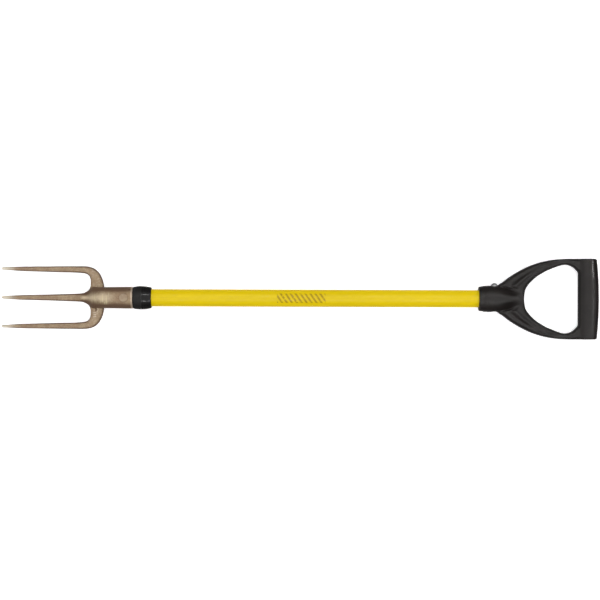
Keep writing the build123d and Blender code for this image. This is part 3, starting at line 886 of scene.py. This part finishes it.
def moulded_grip():
    bm = bmesh.new()
    rows = flow(ARM, 5)
    left = [arm_section(*row, side=-1) for row in rows[:0:-1]]
    right = [arm_section(*row) for row in rows]
    loft(bm, left + right, 64)
    loft(bm, [crest_section(*row) for row in flow(CREST, 3)], 64)
    stops = [0.0, 0.3, 1.0, 2.0] + [5 + 65 * i / 12 for i in range(13)]
    edge = GRIP_HALF_WIDTH / MM
    places = sorted({round(turn * (edge - stop), 3) for stop in stops for turn in (-1, 1)})
    loft(bm, [bar_section(place * MM) for place in places], 80)
    socket = [(GRIP_MOUTH_X + x * MM, radius * MM) for x, radius in GRIP_SOCKET]
    turned(bm, [(GRIP_MOUTH_X, 0.0)] + socket, 128)
    bm = fused(bm, GRIP_GRAIN)
    soften(bm, 3)
    # The arms grow out of the socket, and meet the bar, in soft hollows.
    soften(bm, 12, lambda p: SPRING_X - 8 * MM < p.x < SPRING_X + 60 * MM)
    soften(bm, 6, lambda p: p.x > SPRING_X + 112 * MM and abs(p.y) < 66 * MM and p.x < BAR_FRONT_X + 9 * MM)
    bore = bmesh.new()
    lead = -5 * MM
    depth = [(lead, 0.0), (lead, SHAFT_RADIUS), (GRIP_BORE_DEPTH, SHAFT_RADIUS), (GRIP_BORE_DEPTH, 0.0)]
    turned(bore, [(GRIP_MOUTH_X + x, radius) for x, radius in depth], 128)
    bm = drilled(bm, bore)
    recess = bmesh.new()
    well = [
        (grip_low.y, 0.0),
        (grip_low.y, BURR_RECESS),
        (BURR_SEAT_Y, BURR_RECESS),
        (BURR_SEAT_Y, SHANK_RADIUS + RIVET_PLAY),
        (SEAT_Y - RIVET_PLAY, SHANK_RADIUS + RIVET_PLAY),
        (SEAT_Y - RIVET_PLAY, RIVET_HEAD_RADIUS + RIVET_PLAY),
        (grip_high.y, RIVET_HEAD_RADIUS + RIVET_PLAY),
        (grip_high.y, 0.0),
    ]
    turned(recess, well, 64, RIVET_LINE)
    bm = drilled(bm, recess)
    moulded_relief(bm)
    return shown(bm, "moulded_grip", plastic, 50)


grip = moulded_grip()
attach(grip, "root")
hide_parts("d_grip")

# The round-headed rivet across the grip's socket: distance along it and radius.
TAIL_Y = grip_rivet_low.y
DOME_STEPS = 12
turns = [math.pi / 2 * i / DOME_STEPS for i in range(DOME_STEPS + 1)]
dome = [(SEAT_Y + RIVET_HEAD_HEIGHT * math.sin(a), RIVET_HEAD_RADIUS * math.cos(a)) for a in turns]
bm = bmesh.new()
turned(
    bm,
    [(TAIL_Y, 0.0), (TAIL_Y, 3.6 * MM), (TAIL_Y + 0.5 * MM, 4.4 * MM), (TAIL_Y + 2.0 * MM, 4.8 * MM)]
    + [(TAIL_Y + 2.0 * MM, SHANK_RADIUS), (SEAT_Y, SHANK_RADIUS)]
    + dome,
    64,
    RIVET_LINE,
)
round_rivet = shown(bm, "round_rivet", steel, 50)
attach(round_rivet, "root")
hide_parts("grip_rivet")

# ---------------------------------------------------------------- collar and shaft

# The collar: distance from the socket's mouth and radius. It swells over a bead and grips the
# shaft with a thin lip.
COLLAR = [
    (0.0, 15.0),
    (0.0, 17.9),
    (0.25, 18.45),
    (0.9, 18.75),
    (4.0, 19.4),
    (8.0, 19.95),
    (12.0, 20.25),
    (15.0, 20.3),
    (18.0, 20.2),
    (22.0, 19.85),
    (26.0, 19.25),
    (29.0, 18.7),
    (30.6, 18.35),
    (31.4, 18.0),
    (31.85, 17.4),
    (32.0, 16.6),
    (32.0, 15.0),
]
bm = bmesh.new()
turned(bm, [(collar_low.x + x * MM, radius * MM) for x, radius in COLLAR], 128)
collar = shown(bm, "shrunk_collar", rubber, 50)
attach(collar, "root")
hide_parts("socket_collar")

coat("shaft_tube", yellow)
coat("rivet_burr", steel)

# ---------------------------------------------------------------- floor, lights and camera


FLOOR_REACH = 40.0  # wide enough to fill the low views


def pale_floor():
    skin = Finish("pale_floor", Roughness=0.9, Specular_IOR_Level=0.0, Emission_Strength=0.6)
    skin.set(Base_Color=(0.93, 0.93, 0.93), Emission_Color=(1, 1, 1))
    return skin.material


floor_mesh = bmesh.new()
bmesh.ops.create_grid(floor_mesh, x_segments=2, y_segments=2, size=FLOOR_REACH)
floor_data = bpy.data.meshes.new("floor")
floor_mesh.to_mesh(floor_data)
floor_mesh.free()
floor = bpy.data.objects.new("floor", floor_data)
floor_data.materials.append(pale_floor())
bpy.context.scene.collection.objects.link(floor)

# A pale wall far round the floor closes the level views. It neither lights the fork nor shades it.
wall_mesh = bmesh.new()
bmesh.ops.create_circle(wall_mesh, cap_ends=False, segments=64, radius=FLOOR_REACH)
raised = bmesh.ops.extrude_edge_only(wall_mesh, edges=list(wall_mesh.edges))["geom"]
bmesh.ops.translate(
    wall_mesh, verts=[v for v in raised if isinstance(v, bmesh.types.BMVert)], vec=(0, 0, FLOOR_REACH / 2)
)
wall_data = bpy.data.meshes.new("wall")
wall_mesh.to_mesh(wall_data)
wall_mesh.free()
wall = bpy.data.objects.new("wall", wall_data)
wall_data.materials.append(floor_data.materials[0])
bpy.context.scene.collection.objects.link(wall)
wall.visible_diffuse = False
wall.visible_glossy = False
wall.visible_shadow = False


def softbox(name, place, target, size, power):
    """A rectangular studio light that faces a target; its width runs along X where it can."""
    light = bpy.data.lights.new(name, "AREA")
    light.shape = "RECTANGLE"
    light.size, light.size_y = size
    light.energy = power
    lamp = bpy.data.objects.new(name, light)
    bpy.context.scene.collection.objects.link(lamp)
    back = (Vector(place) - Vector(target)).normalized()
    width = Vector((1, 0, 0)) if abs(back.x) < 0.3 else Vector((0, 1, 0))
    height = back.cross(width).normalized()
    width = height.cross(back)
    turn = Matrix((width, height, back)).transposed().to_4x4()
    lamp.matrix_world = Matrix.Translation(place) @ turn
    return lamp


STRIP_LEAN = math.radians(33)  # the shaft shows each strip as a thin line beside its crown
STRIP_REACH = 2.2
for side in (-1, 1):
    above = AXIS_Z + STRIP_REACH * math.cos(STRIP_LEAN)
    place = (0, side * STRIP_REACH * math.sin(STRIP_LEAN), above)
    softbox(f"strip_{side}", place, (0, 0, AXIS_Z), (3.2, 0.045), 11)
overhead = softbox("overhead", (0, 0, 3.3), (0, 0, 0), (3.0, 2.2), 34)
overhead.visible_glossy = False
softbox("left", (-2.3, 0, 0.55), (-0.35, 0, AXIS_Z), (1.6, 0.9), 8)
softbox("right", (1.76, 0.1, 1.55), (0.5, 0.05, AXIS_Z), (0.28, 0.16), 5)

# The room is bright overhead and, as a pale table would show, far below, and dark between them, so
# that flanks read darker than tops and the lowest flanks have a thin light rim.
world = bpy.data.worlds.new("studio")
world.use_nodes = True
sky = Web(world.node_tree)
height = sky.axes(sky.node("ShaderNodeTexCoord", output="Generated"))[2]
brightness = height.ramp(0.2, 1.0) * 0.62 + height.ramp(-0.55, -0.95) * 0.55 + 0.04
sky.feed(world.node_tree.nodes["Background"].inputs["Strength"], brightness)
world.node_tree.nodes["Background"].inputs["Color"].default_value = (1, 1, 1, 1)
bpy.context.scene.world = world
floor.visible_glossy = False

CAMERA_HEIGHT = 2.906
camera_data = bpy.data.cameras.new("camera")
camera_data.lens = 100
camera_data.sensor_width = 36
camera_data.dof.use_dof = False
camera = bpy.data.objects.new("camera", camera_data)
camera.location = (0.0003, -0.0030, CAMERA_HEIGHT)  # the fork lies a hair off the frame's middle
camera.rotation_euler = (0, 0, math.radians(0.18))
bpy.context.scene.collection.objects.link(camera)
bpy.context.scene.camera = camera
bpy.context.scene.view_settings.view_transform = "Standard"
